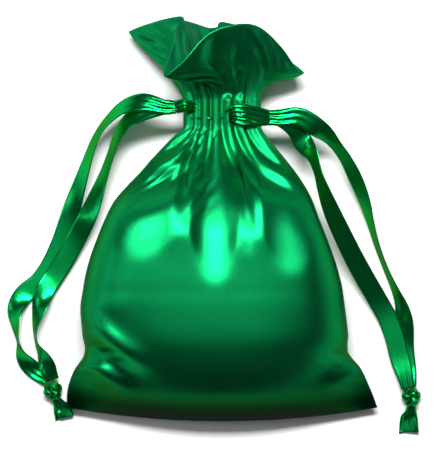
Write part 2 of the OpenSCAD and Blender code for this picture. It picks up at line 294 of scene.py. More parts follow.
# Routes of the free strands in mm: x, y, z and roll in degrees, where roll 0 lies flat.
strandRoutes = {
    "left_outer_strand": [
        (-15, 36.7, 17.7, 0), (-19, 36.7, 17.7, 0), (-25.5, 38.4, 16.8, 16), (-32, 37, 14, 45),
        (-37.6, 32.4, 11, 62), (-41.4, 26.8, 8.8, 64), (-44.4, 19, 6.6, 56), (-47.6, 9.6, 4.4, 36),
        (-50.3, 1.4, 2.2, 10), (-53, -6.6, 1.2, 2), (-56.2, -13.8, 0.9, 0), (-60.2, -19.8, 1.0, 0),
        (-65.4, -24.2, 1.2, 2), (-68.2, -29.2, 2.6, 34), (-68, -34.8, 3.4, 62), (-67, -40.2, 3.6, 76),
        (-65.4, -45.2, 2.6, 40), (-61.8, -49.6, 0.9, 2), (-57.6, -52.4, 1.8, 0)],
    "left_inner_strand": [
        (-15, 36.7, 17.27, 0), (-19, 36.7, 17.2, 0), (-25.4, 35.4, 15.6, 16), (-30.6, 32.6, 13, 42),
        (-34.2, 27.4, 10.6, 60), (-36.4, 21.6, 8.6, 64), (-38.8, 15, 6.8, 58), (-41.4, 8, 6.2, 38),
        (-44.2, 1.2, 6, 16), (-47.8, -5.6, 3.8, 8), (-51.6, -12.4, 2.8, 0), (-55.4, -18.4, 2.4, 0),
        (-58.4, -23.2, 3.2, 0), (-60.2, -28.8, 4.0, 40), (-61.5, -34.8, 3.8, 70), (-61, -40.4, 3.8, 76),
        (-58.4, -45.4, 4.8, 40), (-57, -49.4, 4.4, 4), (-55.9, -52.4, 3.2, 0)],
    "right_outer_strand": [
        (15, 33.3, 17.7, 0), (19, 33.3, 18.2, 0), (25, 33.4, 18.2, 10), (30.8, 30, 17, 18),
        (35.8, 25.8, 12.8, 56), (40, 20.6, 10.6, 58), (43.4, 14.2, 8.8, 50), (46.4, 7, 7.2, 58),
        (48.6, -0.4, 5.8, 72), (51, -8.4, 4.8, 78), (54.2, -16.6, 4.2, 78), (57.2, -23.2, 3.9, 70),
        (59.3, -28.6, 3.4, 50), (60, -34.2, 2.2, 18), (60.2, -41.4, 1.0, 0), (60.8, -47.6, 1.0, 0),
        (61.4, -52.6, 2.0, 0), (61.8, -55, 2.4, 0)],
    "right_inner_strand": [
        (15, 33.3, 17.27, 0), (19, 33, 17.1, 0), (23.6, 30, 15.8, 0), (26, 26, 14.2, 6),
        (29.2, 21.2, 15.2, 54), (31, 15.6, 15.8, 68), (33, 9.6, 15.2, 54), (35.6, 3, 14.2, 36),
        (38.8, -3.8, 12.4, 24), (42.6, -11.2, 9.4, 14), (46.8, -18.6, 6.2, 6), (51, -25.6, 3.6, 2),
        (54.4, -31.6, 2.4, 0), (56.8, -38, 2.2, 0), (58.4, -44.4, 2.2, 0), (60.2, -50.6, 3.0, 0),
        (61.2, -55, 3.4, 0)],
}


def curved(points, steps):
    # a smooth run through given points, columns of any count
    p = np.array(points, float)
    last = len(p) - 1
    out = []
    for i in range(last):
        a, b, c, d = p[max(i - 1, 0)], p[i], p[i + 1], p[min(i + 2, last)]
        for k in range(steps):
            t = k / steps
            out.append(0.5 * (2 * b + (c - a) * t + (2 * a - 5 * b + 4 * c - d) * t * t
                              + (3 * b - a - 3 * c + d) * t ** 3))
    out.append(p[last])
    return np.array(out)


def unit(v):
    return v / (np.linalg.norm(v, axis=-1, keepdims=True) + 1e-12)


def smoothStep(t):
    t = np.clip(t, 0, 1)
    return t * t * (3 - 2 * t)


def meshPiece(name, points, faces, weave, slot):
    # a smooth-shaded object from points in mm, with the cloth's own plane kept as an attribute
    mesh = bpy.data.meshes.new(name)
    mesh.from_pydata((np.asarray(points) * mm).tolist(), [], faces)
    mesh.polygons.foreach_set("use_smooth", [True] * len(mesh.polygons))
    kept = mesh.attributes.new("weave", "FLOAT_VECTOR", "POINT")
    kept.data.foreach_set("vector", (np.asarray(weave, float) * mm).astype(np.float32).ravel())
    mesh.materials.append(finishes[slot])
    obj = link(bpy.data.objects.new(name, mesh))
    return obj


def gridFaces(rows, cols, closed=False, start=0):
    wide = cols if closed else cols - 1
    return [(start + j * cols + k, start + j * cols + (k + 1) % cols,
             start + (j + 1) * cols + (k + 1) % cols, start + (j + 1) * cols + k)
            for j in range(rows - 1) for k in range(wide)]


def ribbonRings(rows, widths, size, crumple):
    # rings of one ribbon: rows hold x, y, z, roll; crumple is the depth in mm of its three pleats
    place = rows[:, :3]
    along = unit(np.gradient(place, axis=0))
    level = unit(np.cross((0, 0, 1), along))
    up = np.cross(along, level)
    roll = np.radians(rows[:, 3:4])
    across = level * np.cos(roll) + up * np.sin(roll)
    out = np.cross(along, across)
    cols = size["columns"]
    s = np.linspace(1, -1, cols)
    rim = np.abs(s)
    half = size["thick"] / 2 * (0.75 + 0.35 * (rim > 0.8) - 0.6 * (rim > 0.99))
    run = np.concatenate([[0], np.cumsum(np.linalg.norm(np.diff(place, axis=0), axis=1))])
    pleats = np.cos(3 * math.pi * s[None, :] + 0.5 * np.sin(run / 2.3)[:, None])
    sag = pleats * crumple[:, None]
    top = sag + half
    low = sag - half
    ring = np.concatenate([top, low[:, ::-1]], axis=1)
    side = np.concatenate([s, s[::-1]])
    body = (place[:, None] + side[None, :, None] * (widths / 2)[:, None, None] * across[:, None]
            + ring[..., None] * out[:, None])
    weave = np.zeros_like(body)
    weave[..., 0] = side * size["width"] / 2
    weave[..., 1] = run[:, None]
    return body, weave


def ribbonFaces(rings, cols, start=0):
    # the faces round a flat ribbon, and strips of quads across its two cut ends
    faces = gridFaces(rings, cols, closed=True, start=start)
    for end, flip in ((start, True), (start + (rings - 1) * cols, False)):
        for k in range(cols // 2 - 1):
            face = (end + k, end + k + 1, end + cols - 2 - k, end + cols - 1 - k)
            faces.append(face[::-1] if flip else face)
    return faces


def roundFaces(rings, cols, start=0):
    # the faces round a closed bar, and one face across each end
    last = start + (rings - 1) * cols
    ends = [tuple(start + i for i in range(cols))[::-1], tuple(last + i for i in range(cols))]
    return gridFaces(rings, cols, closed=True, start=start) + ends


def ribbonPiece(name, rows, widths, size, crumple):
    body, weave = ribbonRings(rows, widths, size, crumple)
    faces = ribbonFaces(*body.shape[:2])
    return meshPiece(name, body.reshape(-1, 3), faces, weave.reshape(-1, 3), "ribbon")


def pathLength(points):
    return float(np.linalg.norm(np.diff(points, axis=0), axis=1).sum())


startWidth = {"left": 4.2, "right": 5.0}    # mm, where a strand begins


def makeStrand(name, route, size):
    side = name.split("_")[0]
    rows = curved(route, size["steps"])
    share = np.linspace(0, len(route) - 1, len(rows))
    first = startWidth[side] + (size["width"] - startWidth[side]) * smoothStep(share / 2.5)
    narrow = 0.72 + 0.28 * smoothStep((len(route) - 1 - share) / 2)
    crumple = 0.42 * (1 - smoothStep(share / 3)) + 0.22 * (1 - smoothStep((len(route) - 1 - share) / 2))
    strand = ribbonPiece(name.replace("strand", "ribbon"), rows, first * narrow, size, crumple)
    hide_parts(name)
    return strand, rows[:, :3]


ribbonKnot = {
    "size": 0.82,        # mm for each unit of the loop
    "wide": 1.45,        # mm, half of the pleated ribbon's width
    "thick": 0.75,
    "folds": 0.18,       # share by which its pleats stand out
}


def makeKnot(name, centre, heading, k):
    # an overhand knot pulled tight: one pleated ribbon along a three-lobed loop
    t = np.linspace(0.25, 2 * math.pi - 0.25, 72)
    loop = np.stack([np.sin(t) + 2 * np.sin(2 * t), np.cos(t) - 2 * np.cos(2 * t), -np.sin(3 * t) * 1.4], 1)
    loop = loop * k["size"]
    turn = math.radians(heading)
    turned = loop.copy()
    turned[:, 0] = loop[:, 0] * math.cos(turn) - loop[:, 1] * math.sin(turn)
    turned[:, 1] = loop[:, 0] * math.sin(turn) + loop[:, 1] * math.cos(turn)
    place = turned + np.array(centre)
    along = unit(np.gradient(place, axis=0))
    outward = unit(turned + np.array([0, 0, 0.001]))
    across = unit(np.cross(along, outward))
    up = np.cross(across, along)
    a = np.linspace(0, 2 * math.pi, 20, endpoint=False)
    ripple = 1 + k["folds"] * np.cos(5 * a[None, :] + 3 * np.sin(t * 1.7)[:, None])
    body = (place[:, None] + (np.cos(a) * k["wide"] * ripple)[..., None] * across[:, None]
            + (np.sin(a) * k["thick"] * ripple)[..., None] * up[:, None])
    body[..., 2] = np.maximum(body[..., 2], 0.15)
    faces = roundFaces(*body.shape[:2])
    weave = np.zeros_like(body)
    weave[..., 0] = a * 1.2
    weave[..., 1] = t[:, None] * 4
    knot = meshPiece(name.replace("knot", "overhand_knot"), body.reshape(-1, 3), faces,
                     weave.reshape(-1, 3), "ribbon")
    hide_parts(name)
    return knot


endRoutes = {
    "left_ribbon_ends": [
        (-55.0, -58.2, 3.0, 0), (-53.6, -60.6, 2.2, 12), (-52.6, -62.6, 1.6, -8), (-52.2, -64.8, 1.0, 0)],
    "right_ribbon_ends": [
        (62.5, -60.4, 2.8, 0), (62.2, -63.4, 1.8, -10), (61.6, -66, 1.2, 8), (61.4, -69.6, 0.8, 0)],
}


def makeEnds(name, route, size):
    # the two cut ends past the knot, one on the other, trimmed on a slant
    rows = curved(route, 6)
    share = np.linspace(0, 1, len(rows))
    widths = size["width"] * (0.42 + 0.5 * smoothStep(share * 1.6))
    bodies, weaves, faces = [], [], []
    count = 0
    for lift, scale, swing in ((0.0, 1.0, 0.0), (0.55, 0.86, 1.1)):
        moved = rows + np.array([0, 0, lift, 0])
        moved[:, 0] += swing * share ** 2
        moved[:, 2] += 0.35 * share * np.sin(share * 6 + lift * 4)
        body, weave = ribbonRings(moved, widths * scale, size, 0.30 * (1 - share) + 0.05)
        slant = np.linspace(1, -1, size["columns"])
        slant = np.concatenate([slant, slant[::-1]])
        body[..., 1] -= (share ** 3)[:, None] * slant[None, :] * (0.9 if lift else -0.7)
        rings, cols = body.shape[:2]
        faces += ribbonFaces(rings, cols, start=count)
        bodies.append(body.reshape(-1, 3))
        weaves.append(weave.reshape(-1, 3))
        count += rings * cols
    points = np.concatenate(bodies)
    points[:, 2] = np.maximum(points[:, 2], 0.12)
    ends = meshPiece(name.replace("ribbon", "cut"), points, faces, np.concatenate(weaves), "ribbon")
    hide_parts(name)
    return ends


knots = {"left_knot": ((-55.6, -56, 3.1), 20), "right_knot": ((62.3, -58, 3.1), 4)}
cordPieces = {}
for name, (centre, heading) in knots.items():
    cordPieces[name] = makeKnot(name, centre, heading, ribbonKnot)
for name, route in endRoutes.items():
    cordPieces[name] = makeEnds(name, route, ribbonSize)
for name, route in strandRoutes.items():
    strand, path = makeStrand(name, route, ribbonSize)
    side = name.split("_")[0]
    tuple(path[0] * mm)
    (path * mm).tolist()
    cordPieces[side + "_knot"]
    cordPieces[side + "_ribbon_ends"]
    cordPieces[name] = strand
    say("%s is %.0f mm long" % (name, pathLength(path)))
for name, piece in cordPieces.items():
    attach(piece, name.split("_")[0] + "_drawstring")


# the sack's two cloths
sack = {
    "cut": 102,          # mm of cloth across one side
    "body": 112,         # mm of cloth from the bottom seam to the casing
    "casing": 9,
    "header": 31,        # from the casing to the folded hem
    "columns": 84,
    "bodyRows": 92,
    "casingRows": 8,
    "headerRows": 26,
    "bottom": -61.5,     # mm, where the bottom seam's corners lie
    "neckFrom": 30.5,
    "bottomBow": 4.5,
    "neckLevel": 12,
    "neckHalf": 12.7,
    "neckRise": 6.8,
    "neckBelly": 2.5,
    "neckEdge": 0.4,
    "thick": 0.28,
    "hemGap": 0.7,       # between the outer layer and the layer that is turned in
    "channel": 1.7,      # between the same two layers at the casing
    "roll": 0.9,         # how far the edges are rolled in at the seams
    "edgeGap": 0.12,     # between the front and the back at a seam, on each side of it
    "least": 0.35,       # height above the table
}

# Stations from the bottom seam to the casing in mm: y, left x, right x, seam level, front rise,
# back drop, belly exponent, edge exponent.
stations = np.array([
    (-61.5, -51.2, 51.5, 5.0, 0.0, 0.0, 2.0, 1.3), (-60.2, -51.4, 51.2, 5.0, 6.2, 3.0, 2.0, 1.2),
    (-57, -51.5, 50.0, 5.3, 13.2, 4.4, 2.2, 1.0), (-53, -50.6, 48.2, 6.2, 18.6, 5.6, 2.4, 0.9),
    (-48, -48.4, 45.8, 7.5, 21.6, 7.2, 2.8, 0.75), (-43, -45, 41.2, 9, 22.6, 8.7, 3.4, 0.6),
    (-37, -45.6, 41.2, 10.5, 22.6, 10.3, 4.2, 0.55), (-28, -46.2, 40, 12, 21.8, 11.8, 4.8, 0.52),
    (-22, -45.2, 39.2, 12.5, 21.4, 12.4, 4.8, 0.52), (-19, -44.8, 38.6, 12.6, 21.1, 12.5, 4.8, 0.52),
    (-12, -43.0, 36.8, 12.7, 19.8, 12.7, 4.8, 0.52), (-4, -40, 33.8, 13, 18.0, 12.7, 4.8, 0.52),
    (2, -37.5, 31.4, 13, 16.2, 12.7, 4.6, 0.52), (8, -34.4, 29.4, 13, 13.8, 12.5, 4.2, 0.5),
    (15, -27.6, 25, 12.8, 10.8, 11.7, 3.4, 0.48), (21.5, -22, 19.8, 12.4, 8.8, 9.6, 2.9, 0.45),
    (27, -16.6, 15.2, 12.1, 7.5, 8, 2.6, 0.41), (30.5, -12.7, 12.7, 12, 7, 7, 2.5, 0.40)])
smoothStations = curved(stations, 8)

# The three hollows that end on the front: x of the middle, y where each ends, half width in mm.
hollows = [(-25.5, -13.5, 12.5), (-2.3, -21.8, 7.5), (22, -18.5, 10)]
fallStart = -21.8       # mm, the y where the front of the stations starts to fall
fallLimit = 16          # mm, how much later it may start to fall between the hollows

# Valleys between the folds of the front, each a line of points in mm: x, y, half width, depth.
frontValleys = [
    [(-11.4, 0, 2.0, 0.4), (-12.2, 8, 2.2, 1.8), (-11.6, 16, 2.0, 2.8), (-9.8, 24, 1.7, 3.2),
     (-7.9, 31, 1.3, 2.8)],
    [(7.6, -8, 2.4, 0.4), (7.6, 0, 3.2, 1.6), (5.6, 9, 3.0, 3.0), (3.2, 17, 2.4, 3.4), (1.2, 24, 1.8, 3.2),
     (-0.2, 31, 1.4, 2.6)],
    [(-6.0, 12, 1.2, 0.4), (-5.2, 18, 1.6, 2.0), (-4.4, 24, 1.5, 2.6), (-3.8, 31, 1.3, 2.6)],
    [(27, 7, 3.0, 0.6), (20, 10, 3.2, 2.0), (13.6, 14, 2.8, 3.0), (8.6, 20, 2.2, 3.2), (5.6, 26, 1.7, 3.0),
     (4.2, 31, 1.4, 2.6)],
    [(19, 17.5, 1.6, 0.6), (14, 21, 1.7, 2.0), (10.6, 26, 1.6, 2.6), (8.2, 31, 1.3, 2.4)],
    [(-33, 8, 4, 1.0), (-26, 10, 5.4, 3.6), (-18, 12.5, 4.2, 3.8), (-12, 15, 2.6, 2.0)],
    [(-21, 21.5, 1.6, 1.0), (-15.6, 24.6, 1.7, 2.2), (-12.2, 28.4, 1.4, 2.4), (-10.8, 31, 1.1, 2.4)],
]

# Creases and puffs of the front near the bottom corners, heights in mm.
cornerFolds = [
    [(-46, -30, 4, 0.8), (-40, -34.5, 3.4, 2.9), (-32, -41, 3.2, 3.1), (-25, -45.5, 3.4, 0.6)],
    [(-47, -38, 3, -1.6), (-40, -41.5, 2.8, -2.6), (-32, -47, 3.0, -2.0), (-24, -51, 3.6, -0.3)],
    [(-49, -47, 2.8, 1.2), (-43, -46.5, 2.8, 2.8), (-36.5, -50, 2.8, 2.6), (-31.5, -54.5, 2.6, 0.5)],
    [(-46, -55, 3.2, -0.9), (-40, -56, 3.2, -1.0)],
    [(43, -42, 3, -1.8), (36, -47, 3.4, -1.8), (28, -50, 4, -0.3)],
    [(45, -47.5, 3.2, 2.8), (38, -51, 3.8, 2.0)],
]

# The mouth's hem in mm from the left corner to the right corner, on the front and on the back.
frontHem = [
    (-31.2, 61.8, 5.5), (-27.4, 62.8, 10), (-22.4, 63.9, 15), (-17, 64.9, 19), (-12.4, 65.5, 21.5),
    (-15.4, 60.8, 23.5), (-15.6, 56, 25), (-19.2, 45.6, 26.4), (-12.4, 50.0, 28.5), (-7.8, 55.4, 29.5),
    (-3.3, 59.6, 29), (2.6, 61.8, 27.5), (10, 62.6, 24.5), (14.6, 59.8, 22.5), (19.8, 54.6, 19),
    (23, 50, 15.5), (27, 47.8, 11)]
backHem = [
    (-31.2, 61.8, 5.5), (-26, 63.5, 3.0), (-20, 64.5, 2.0), (-14, 65.6, 3.4), (-9.6, 65, 2.0),
    (-5, 63.4, 1.4), (-1.4, 63.2, 3.4), (-0.6, 65.2, 4.6), (4, 64.4, 1.6), (9, 63.4, 1.4),
    (12, 61, 4.6), (16, 58.6, 1.6), (20, 54, 3.2), (24, 50.5, 6.5), (27, 47.8, 11)]

# Folds of the front frill: shares across the cloth and up the frill, half width and height in mm.
frillFolds = [
    [(0.56, 0.05, 0.030, -2.6), (0.57, 0.4, 0.036, -4.6), (0.59, 0.75, 0.05, -2.6), (0.62, 1.0, 0.05, 0)],
    [(0.63, 0.1, 0.030, 0.6), (0.635, 0.45, 0.030, 1.8), (0.65, 0.7, 0.03, 0.2)],
    [(0.69, 0.05, 0.030, -2.0), (0.69, 0.5, 0.035, -2.6), (0.71, 0.85, 0.04, -0.5)],
    [(0.93, 0.02, 0.05, -1.8), (0.90, 0.35, 0.05, -1.8), (0.88, 0.6, 0.05, -0.3)],
    [(0.22, 0.05, 0.05, 0.6), (0.2, 0.5, 0.07, 1.1), (0.2, 0.95, 0.07, 0)],
]


# How the drawn-in cloth folds: mm along Y, mm of height, and counts of folds across the cloth.
folding = {
    "hollowRise": 13,        # mm that the fall starts later, a half width off a hollow's middle
    "hollowSides": 2.4,
    "evenFrom": 2,           # where the hollows begin to fade into the neck
    "evenOver": 22,
    "fineFrom": 12,          # where the fine gathers begin
    "fineOver": 18,
    "frontPleats": 12.5,
    "frontPleatDepth": 0.1,
    "backFrom": -25,
    "backOver": 18,
    "backLobes": 3.0,
    "backLobeDepth": 5.2,
    "backPleats": 7,
    "backPleatDepth": 2.9,
    "cornersBelow": -20,     # the corner folds lie below this
}
frillShape = {
    "reach": 8,              # mm that the frill runs on along the neck before it opens
    "widen": 1.12,
    "puff": 1.5,
    "turnShare": 0.6,
    "turnLift": 1.2,
    "backWaves": 5.4,
    "backDepth": 3.2,
}


def foldHeight(x, y, folds, sharp=2.0):
    # the height that fold lines give at x, y; a low value of sharp makes creases
    total = np.zeros(x.shape)
    for fold in folds:
        bump = np.zeros(x.shape)
        for px, py, wide, height in curved(fold, 10):
            here = height * np.exp(-(np.hypot(x - px, y - py) / wide) ** sharp)
            bump = np.where(np.abs(here) > np.abs(bump), here, bump)
        total += bump
    return total


def stationAt(y):
    return (np.interp(y, smoothStations[:, 0], smoothStations[:, k]) for k in range(1, 8))


def laterFall(x):
    # how much later than in the middle fold the front starts to fall at each x
    starts = [end + folding["hollowRise"] * np.abs((x - middle) / wide) ** folding["hollowSides"]
              for middle, end, wide in hollows]
    return np.clip(np.minimum.reduce(starts) - fallStart, 0, fallLimit)


columnShare = np.linspace(0, 1, sack["columns"] + 1)


def sackRing(y, side, s):
    # one cross-section: x, z and outward normal at even steps along its arc
    inBody = y < s["neckFrom"] - 0.01
    if inBody:
        xl, xr, level, front, back, belly, edge = stationAt(y)
        rise = front if side > 0 else back
        belly += 0 if side > 0 else 1.5
    else:
        xl, xr, level, rise = -s["neckHalf"], s["neckHalf"], s["neckLevel"], s["neckRise"]
        belly, edge = s["neckBelly"], s["neckEdge"]
    q = np.sin(np.linspace(-math.pi / 2, math.pi / 2, 801))
    x = (xl + xr) / 2 + (xr - xl) / 2 * q
    if side > 0 and inBody:
        fade = 1 - smoothStep((y - folding["evenFrom"]) / folding["evenOver"])
        read = np.maximum(y - laterFall(x), min(y, fallStart))
        later = np.interp(read, smoothStations[:, 0], smoothStations[:, 4])
        rise = rise + fade * (later - rise)
    z = np.maximum(level + side * (0.3 + rise * np.maximum(1 - np.abs(q) ** belly, 0) ** edge), s["least"])
    run = np.concatenate([[0], np.cumsum(np.hypot(np.diff(x), np.diff(z)))])
    x, z = (np.interp(columnShare * run[-1], run, v) for v in (x, z))
    tx, tz = np.gradient(x), np.gradient(z)
    size = np.hypot(tx, tz) + 1e-9
    return x, z, -tz / size * side, tx / size * side


def gathers(x, y, side, fine):
    # the drawn-in cloth at one height: how far each point stands out along the normal
    u = columnShare
    edge = np.minimum(1, 5 * np.sin(math.pi * u)) ** 0.7
    f = folding
    if side > 0:
        small = np.cos(2 * math.pi * f["frontPleats"] * u + 1.2 * np.sin(9 * u + 0.4))
        valleys = foldHeight(x, np.full(x.shape, y), frontValleys, 2 - 0.7 * fine)
        return edge * (f["frontPleatDepth"] * fine * small - valleys)
    depth = f["backLobeDepth"] * smoothStep((y - f["backFrom"]) / f["backOver"]) * (1 - 0.35 * fine)
    lobes = np.cos(2 * math.pi * f["backLobes"] * (u - 0.4))
    uneven = 1.1 * np.sin(8 * u + 1.7) + 0.4 * np.sin(21 * u)
    pleats = np.cos(2 * math.pi * f["backPleats"] * (u - 0.5) + uneven)
    wide = depth * 0.6 * (lobes - 1) * (1 - 0.7 * fine)
    return edge * (wide + f["backPleatDepth"] * fine * (pleats - 0.9))


def frillRow(t, base, hem, side):
    # one row of the frill, a share t of the way up from the casing to the hem
    f = frillShape
    out = base + np.array([0, f["reach"], 0])
    out[:, 0] *= f["widen"]
    out[:, 2] += f["puff"] * side * np.sin(math.pi * columnShare)
    turn = hem * f["turnShare"] + base * (1 - f["turnShare"])
    turn[:, 2] += f["turnLift"]
    row = (1 - t) ** 3 * base + 3 * (1 - t) ** 2 * t * out + 3 * (1 - t) * t * t * turn + t ** 3 * hem
    normal = np.cross(np.gradient(row, axis=0), (0, 1.0, 0))
    normal = unit(normal * (-side if normal[len(row) // 2, 2] * side < 0 else 1))
    if side > 0:
        lift = foldHeight(columnShare, np.full(len(columnShare), t), frillFolds)
    else:
        waves = 2 * math.pi * f["backWaves"] * (columnShare - 0.5) + 0.9 * np.sin(6 * columnShare)
        lift = f["backDepth"] * math.sin(math.pi * min(1, 1.1 * t)) * np.cos(waves)
    return row + normal * (lift * np.sin(math.pi * columnShare) ** 0.5)[:, None]


def hemPoints(points):
    line = curved(points, 12)
    run = np.concatenate([[0], np.cumsum(np.linalg.norm(np.diff(line, axis=0), axis=1))])
    return np.stack([np.interp(columnShare * run[-1], run, line[:, k]) for k in range(3)], 1)


def startShape(side, s):
    bodyY = np.linspace(s["bottom"], s["neckFrom"], s["bodyRows"] + 1)
    casingY = s["neckFrom"] + np.linspace(0, s["casing"], s["casingRows"] + 1)[1:]
    rows = []
    for y in np.concatenate([bodyY, casingY]):
        x, z, nx, nz = sackRing(y, side, s)
        fine = float(smoothStep((min(y, s["neckFrom"]) - folding["fineFrom"]) / folding["fineOver"]))
        out = gathers(x, min(y, s["neckFrom"]), side, fine)
        bow = s["bottomBow"] * max(0.0, min(1.0, (-30 - y) / 31.5)) ** 2
        q = (x - x[0]) / (x[-1] - x[0]) * 2 - 1
        row = np.stack([x + out * nx, y - bow * (1 - q * q), z + out * nz], 1)
        if side > 0 and y < folding["cornersBelow"]:
            row[:, 2] += foldHeight(row[:, 0], row[:, 1], cornerFolds) * min(1, (y + 62) / 4)
        rows.append(row)
    hem = hemPoints(frontHem if side > 0 else backHem)
    base = rows[-1]
    for k in range(1, s["headerRows"] + 1):
        rows.append(frillRow(k / s["headerRows"], base, hem, side))
    return np.array(rows)


# Position-based cloth: springs across, along and on the slant, bending, air inside, weight and filling.
drape = {
    "steps": 14,
    "inner": 6,
    "air": 0.005,
    "bend": 0.16,
    "frillBend": 0.20,
    "weight": 0.004,
    "spare": 1.01,       # width of the cloth against its start shape
    "slack": 2.2,        # mm that the cloth may sink into the filling
    "keep": 0.15,        # how strongly the body keeps its start shape
    "keepFrill": 0.1,
    "keepNearHem": 0.06,
    "keepEnds": 0.3,     # the hem, and the bottom seam
    "keepSides": 0.25,
    "back": 0.3,         # share of the way back to the start shape in one pass
    "glide": 0.9,        # speed kept from step to step
    "stiff": 0.9,
    "slantStiff": 0.25,
    "hollow": 6.0,       # mm more that the front may sink in near the neck
}


def fillingLevels(x, y):
    xl, xr, level, front, back, belly, edge = stationAt(y)
    q = np.abs(np.clip((2 * x - xl - xr) / (xr - xl), -1, 1))
    top = level + front * np.maximum(1 - q ** belly, 0) ** edge
    low = level - back * np.maximum(1 - q ** (belly + 1.5), 0) ** edge
    return top, np.maximum(low, 0.3)


def pull(a, b, freeA, freeB, rest, stiff):
    d = b - a
    size = np.linalg.norm(d, axis=-1, keepdims=True) + 1e-9
    c = stiff * (size - rest) / size / np.maximum(freeA + freeB, 1e-6) * d
    return freeA * c, freeB * c


def drapeCloth(tube, s, d):
    # tube holds rows of points round the whole sack: the front's columns, then the back's
    rows, around, _ = tube.shape
    half = s["columns"]
    casingFrom = s["bodyRows"]
    casingTo = casingFrom + s["casingRows"]
    rest = np.linalg.norm(np.roll(tube, -1, 1) - tube, axis=2)
    for _ in range(3):
        rest = 0.5 * rest + 0.25 * (np.roll(rest, 1, 1) + np.roll(rest, -1, 1))
        rest[1:-1] = 0.5 * rest[1:-1] + 0.25 * (rest[2:] + rest[:-2])
    rest = np.minimum(rest * d["spare"], s["cut"] / half)[..., None]
    runs = np.linalg.norm(np.diff(tube, axis=0), axis=2)
    runs = (0.5 * runs + 0.25 * np.roll(runs, 3, 1) + 0.25 * np.roll(runs, -3, 1))[..., None]
    slant = np.hypot(rest[1:], runs)
    start = tube.copy()
    mirror = (around - np.arange(around)) % around
    free = np.ones((rows, around, 1))
    free[casingFrom:casingTo + 1] = 0
    goal = np.zeros((rows, around, 1))
    goal[:casingFrom] = d["keep"]
    goal[casingTo + 1:] = d["keepFrill"]
    goal[rows - 6:] = d["keepNearHem"]
    goal[rows - 1] = d["keepEnds"]
    goal[0] = d["keepEnds"]
    goal[:, [0, half]] += d["keepSides"]
    air = (1 - 0.9 * smoothStep(np.arange(rows) / casingFrom * 4 - 3))[:, None, None]
    air[casingFrom:] = 0
    bend = np.full((rows, 1, 1), d["bend"])
    bend[casingTo:] = d["frillBend"]
    last = tube.copy()
    for _ in range(d["steps"]):
        speed = (tube - last) * d["glide"]
        last = tube.copy()
        normal = unit(np.cross(np.roll(tube, -1, 1) - np.roll(tube, 1, 1), np.gradient(tube, axis=0)))
        tube = tube + free * (speed + d["air"] * air * normal - (0, 0, d["weight"]))
        for _ in range(d["inner"]):
            for odd in (0, 1):
                near = np.arange(odd, around, 2)
                far = (near + 1) % around
                a, b = pull(tube[:, near], tube[:, far], free[:, near], free[:, far], rest[:, near],
                            d["stiff"])
                tube[:, near] += a
                tube[:, far] -= b
            for odd in (0, 1):
                j = np.arange(odd, rows - 1, 2)
                a, b = pull(tube[j], tube[j + 1], free[j], free[j + 1], runs[j], d["stiff"])
                tube[j] += a
                tube[j + 1] -= b
                for way in (1, -1):
                    beside = np.roll(tube, -way, 1)
                    a, b = pull(tube[j], beside[j + 1], free[j], free[j + 1], slant[j], d["slantStiff"])
                    tube[j] += a
                    tube[j + 1] -= np.roll(b, way, 1)
            tube[0] = 0.5 * (tube[0] + tube[0, mirror])
            tube += goal * free * (start - tube) * d["back"]
        across = 0.5 * (np.roll(tube, 1, 1) + np.roll(tube, -1, 1)) - tube
        across[:, [0, half]] = 0
        along = np.zeros_like(tube)
        along[1:-1] = 0.5 * (tube[2:] + tube[:-2]) - tube[1:-1]
        stiffAcross = 0.5 * (np.roll(across, 1, 1) + np.roll(across, -1, 1)) - across
        stiffAlong = np.zeros_like(tube)
        stiffAlong[1:-1] = 0.5 * (along[2:] + along[:-2]) - along[1:-1]
        tube = tube - free * bend * (stiffAcross + stiffAlong)
        top, low = fillingLevels(tube[:casingFrom, :, 0], tube[:casingFrom, :, 1])
        depth = d["hollow"] * smoothStep((tube[:casingFrom, :half, 1] + 27) / 14)
        height = tube[:casingFrom, :, 2]
        height[:, :half] = np.maximum(height[:, :half], top[:, :half] - d["slack"] - depth)
        height[:, half:] = np.minimum(height[:, half:], low[:, half:] + d["slack"] / 2)
        tube[..., 2] = np.maximum(tube[..., 2], s["least"])
    return tube


def makeDrape(s, d):
    front, back = startShape(1, s), startShape(-1, s)
    half = s["columns"]
    tube = np.zeros((len(front), 2 * half, 3))
    tube[:, :half + 1] = front
    tube[:, half:] = back[:, ::-1][:, :-1]
    tube[:, 0] = 0.5 * (front[:, 0] + back[:, 0])
    tube[:, half] = 0.5 * (front[:, half] + back[:, half])
    mirror = (2 * half - np.arange(2 * half)) % (2 * half)
    tube[0] = 0.5 * (tube[0] + tube[0, mirror])
    return drapeCloth(tube, s, d)


tube = makeDrape(sack, drape)
half = sack["columns"]
outerFront = tube[:, :half + 1]
outerBack = np.concatenate([tube[:, half:], tube[:, :1]], axis=1)[:, ::-1]
say("cloth drawn in and draped")


def clothNormals(grid, side):
    return unit(np.cross(np.gradient(grid, axis=1), np.gradient(grid, axis=0))) * side


def softened(grid, times):
    out = grid.copy()
    for _ in range(times):
        out[:, 1:-1] = 0.5 * out[:, 1:-1] + 0.25 * (out[:, 2:] + out[:, :-2])
    return out


def turnedIn(outer, side, s):
    # the layer behind the header and the casing, from the hem down
    first = s["bodyRows"]
    part = outer[first:]
    rows = len(part)
    share = np.clip(np.arange(rows) / s["casingRows"], 0, 1)[:, None, None]
    depth = s["channel"] + (s["hemGap"] - s["channel"]) * share
    inner = part - clothNormals(softened(part, 12), side) * depth
    return inner[::-1]


